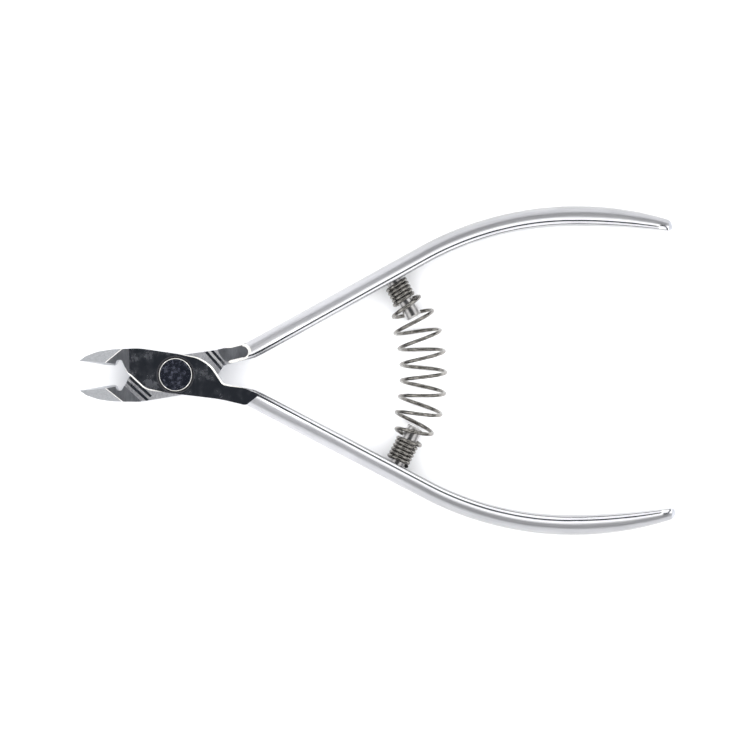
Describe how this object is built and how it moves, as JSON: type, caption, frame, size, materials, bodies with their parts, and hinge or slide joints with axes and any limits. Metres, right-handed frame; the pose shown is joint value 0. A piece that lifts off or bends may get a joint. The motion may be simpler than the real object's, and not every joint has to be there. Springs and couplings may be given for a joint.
{
  "type": "cuticle nipper",
  "caption": "Lap-joint cuticle nipper with pointed blades, curved handles and an open barrel spring held on a stud of each handle.",
  "frame": {"origin": "on the pivot axis, at the rear face of the joint", "axes": "+X along the tool towards the handle ends, +Y towards the upper handle, +Z out of the front lap plate"},
  "size_m": [0.1099, 0.0608, 0.0092],
  "materials": {
    "lever_steel": "polished, satin on the backs of the handles and on the ground blades",
    "rivet_steel": "mirror polished",
    "stud_steel": "turned and polished",
    "spring_wire": "drawn wire"
  },
  "bodies": {
    "front_half": {"front_lever": "lever_steel", "pivot_rivet": "rivet_steel", "lower_stud": "stud_steel", "coil_spring": "spring_wire"},
    "rear_half": {"rear_lever": "lever_steel", "upper_stud": "stud_steel"}
  },
  "joints": [
    {"name": "pivot", "type": "hinge", "parent": "front_half", "child": "rear_half", "pos_m": [0, 0, 0], "axis": [0, 0, -1], "range_deg": [-2, 16.8], "stiffness_Nm_per_rad": 1.1, "deforming": ["coil_spring"]}
  ]
}
